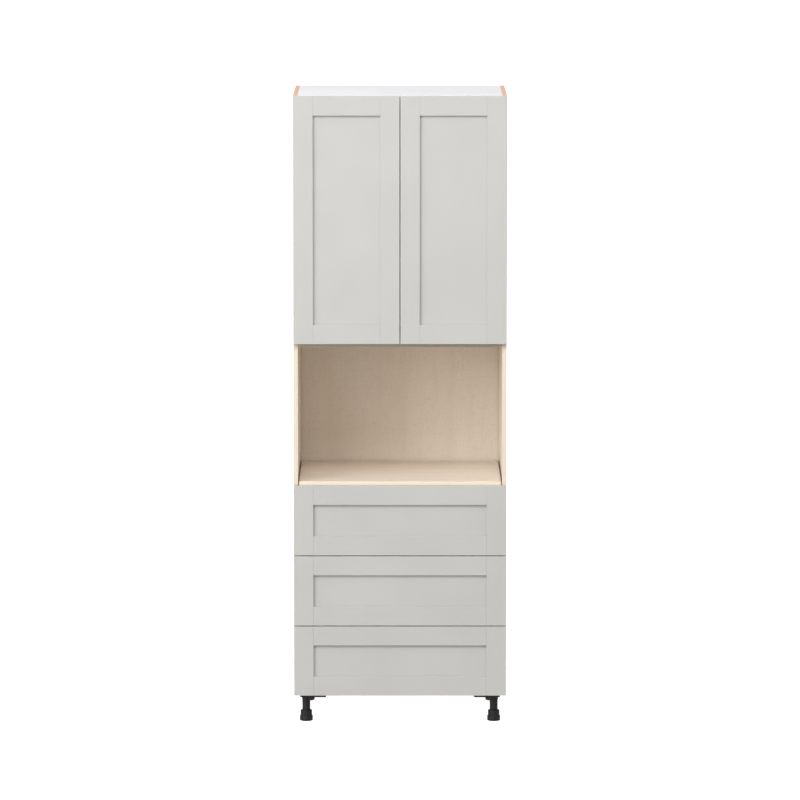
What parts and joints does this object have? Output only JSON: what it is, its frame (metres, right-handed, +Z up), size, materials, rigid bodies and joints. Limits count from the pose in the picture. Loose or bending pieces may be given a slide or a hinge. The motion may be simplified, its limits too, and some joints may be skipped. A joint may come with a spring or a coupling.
{
  "type": "pantry cabinet",
  "caption": "Tall frameless pantry cabinet with framed doors above an open maple-lined niche and a stack of framed drawers, on adjustable levelling legs.",
  "frame": {"origin": "on the floor, under the middle of the cabinet's outline", "axes": "+Z up, +X to the right as seen from the front, doors and drawers face -Y"},
  "size_m": [0.762, 0.6096, 2.264],
  "materials": {
    "side_board": "plywood, white laminate outside and pale maple laminate inside",
    "top_board": "plywood, white laminate on top and pale maple laminate below",
    "maple_board": "plywood faced with pale maple laminate, satin",
    "back_board": "thin plywood faced with pale maple laminate, matt",
    "box_plywood": "clear-lacquered birch plywood",
    "front_lacquer": "light grey lacquer, satin",
    "beech_dowel": "turned beech, raw",
    "zinc_steel": "zinc-plated rolled steel",
    "nickel_plate": "nickel-plated pressed steel",
    "screw_steel": "zinc-plated steel",
    "leg_plastic": "moulded black plastic, fine texture",
    "bumper_rubber": "soft translucent bumper"
  },
  "bodies": {
    "cabinet": {"left_side_panel": "side_board", "right_side_panel": "side_board", "top_panel": "top_board", "niche_ceiling": "maple_board", "niche_shelf": "maple_board", "bottom_panel": "maple_board", "back_panel": "back_board", "wall_rails": "maple_board", "adjustable_shelves": "maple_board", "shelf_pins": "nickel_plate", "panel_dowels": "beech_dowel", "front_bumpers": "bumper_rubber", "shelf_angles": "zinc_steel", "hinge_plates": "nickel_plate", "hinge_arms": "nickel_plate", "cabinet_slides": "zinc_steel", "carcass_screws": "screw_steel", "leg_plates": "leg_plastic", "leg_tubes": "leg_plastic"},
    "left_door": {"left_door_stiles": "front_lacquer", "left_door_rails": "front_lacquer", "left_door_panel": "front_lacquer", "left_hinge_cups": "nickel_plate"},
    "left_hinge_links": {"left_hinge_links": "nickel_plate"},
    "right_door": {"right_door_stiles": "front_lacquer", "right_door_rails": "front_lacquer", "right_door_panel": "front_lacquer", "right_hinge_cups": "nickel_plate"},
    "right_hinge_links": {"right_hinge_links": "nickel_plate"},
    "drawer_1": {"drawer_1_front_stiles": "front_lacquer", "drawer_1_front_rails": "front_lacquer", "drawer_1_front_panel": "front_lacquer", "drawer_1_box_sides": "box_plywood", "drawer_1_box_ends": "box_plywood", "drawer_1_box_bottom": "box_plywood", "drawer_1_front_screws": "screw_steel", "drawer_1_drawer_slides": "zinc_steel"},
    "drawer_1_middle_slides": {"drawer_1_middle_slides": "zinc_steel"},
    "drawer_2": {"drawer_2_front_stiles": "front_lacquer", "drawer_2_front_rails": "front_lacquer", "drawer_2_front_panel": "front_lacquer", "drawer_2_box_sides": "box_plywood", "drawer_2_box_ends": "box_plywood", "drawer_2_box_bottom": "box_plywood", "drawer_2_front_screws": "screw_steel", "drawer_2_drawer_slides": "zinc_steel"},
    "drawer_2_middle_slides": {"drawer_2_middle_slides": "zinc_steel"},
    "drawer_3": {"drawer_3_front_stiles": "front_lacquer", "drawer_3_front_rails": "front_lacquer", "drawer_3_front_panel": "front_lacquer", "drawer_3_box_sides": "box_plywood", "drawer_3_box_ends": "box_plywood", "drawer_3_box_bottom": "box_plywood", "drawer_3_front_screws": "screw_steel", "drawer_3_drawer_slides": "zinc_steel"},
    "drawer_3_middle_slides": {"drawer_3_middle_slides": "zinc_steel"},
    "front_left_foot": {"front_left_foot": "leg_plastic"},
    "front_right_foot": {"front_right_foot": "leg_plastic"},
    "back_left_foot": {"back_left_foot": "leg_plastic"},
    "back_right_foot": {"back_right_foot": "leg_plastic"}
  },
  "joints": [
    {"name": "left_door_swing", "type": "hinge", "parent": "cabinet", "child": "left_door", "pos_m": [-0.3725, -0.29625, 1.81987], "axis": [0, 0, -1], "range_deg": [0, 105]},
    {"name": "right_door_swing", "type": "hinge", "parent": "cabinet", "child": "right_door", "pos_m": [0.3725, -0.29625, 1.81987], "axis": [0, 0, 1], "range_deg": [0, 105]},
    {"name": "left_hinge_link_swing", "type": "hinge", "parent": "cabinet", "child": "left_hinge_links", "pos_m": [-0.3526, -0.28695, 1.81987], "axis": [0, 0, 1], "range_deg": [0, 36.01]},
    {"name": "right_hinge_link_swing", "type": "hinge", "parent": "cabinet", "child": "right_hinge_links", "pos_m": [0.3526, -0.28695, 1.81987], "axis": [0, 0, -1], "range_deg": [0, 36.01]},
    {"name": "drawer_1_slide", "type": "slide", "parent": "cabinet", "child": "drawer_1", "axis": [0, -1, 0], "range_m": [0, 0.525]},
    {"name": "drawer_1_middle_slide", "type": "slide", "parent": "cabinet", "child": "drawer_1_middle_slides", "axis": [0, -1, 0], "range_m": [0, 0.2625]},
    {"name": "drawer_2_slide", "type": "slide", "parent": "cabinet", "child": "drawer_2", "axis": [0, -1, 0], "range_m": [0, 0.525]},
    {"name": "drawer_2_middle_slide", "type": "slide", "parent": "cabinet", "child": "drawer_2_middle_slides", "axis": [0, -1, 0], "range_m": [0, 0.2625]},
    {"name": "drawer_3_slide", "type": "slide", "parent": "cabinet", "child": "drawer_3", "axis": [0, -1, 0], "range_m": [0, 0.525]},
    {"name": "drawer_3_middle_slide", "type": "slide", "parent": "cabinet", "child": "drawer_3_middle_slides", "axis": [0, -1, 0], "range_m": [0, 0.2625]},
    {"name": "front_left_foot_screw", "type": "slide", "parent": "cabinet", "child": "front_left_foot", "axis": [0, 0, -1], "range_m": [-0.012, 0.02]},
    {"name": "front_right_foot_screw", "type": "slide", "parent": "cabinet", "child": "front_right_foot", "axis": [0, 0, -1], "range_m": [-0.012, 0.02]},
    {"name": "back_left_foot_screw", "type": "slide", "parent": "cabinet", "child": "back_left_foot", "axis": [0, 0, -1], "range_m": [-0.012, 0.02]},
    {"name": "back_right_foot_screw", "type": "slide", "parent": "cabinet", "child": "back_right_foot", "axis": [0, 0, -1], "range_m": [-0.012, 0.02]}
  ],
  "couplings": [
    {"joint": "left_hinge_link_swing", "follows": "left_door_swing", "ratio": 0.34286},
    {"joint": "right_hinge_link_swing", "follows": "right_door_swing", "ratio": 0.34286},
    {"joint": "drawer_1_middle_slide", "follows": "drawer_1_slide", "ratio": 0.5},
    {"joint": "drawer_2_middle_slide", "follows": "drawer_2_slide", "ratio": 0.5},
    {"joint": "drawer_3_middle_slide", "follows": "drawer_3_slide", "ratio": 0.5}
  ]
}
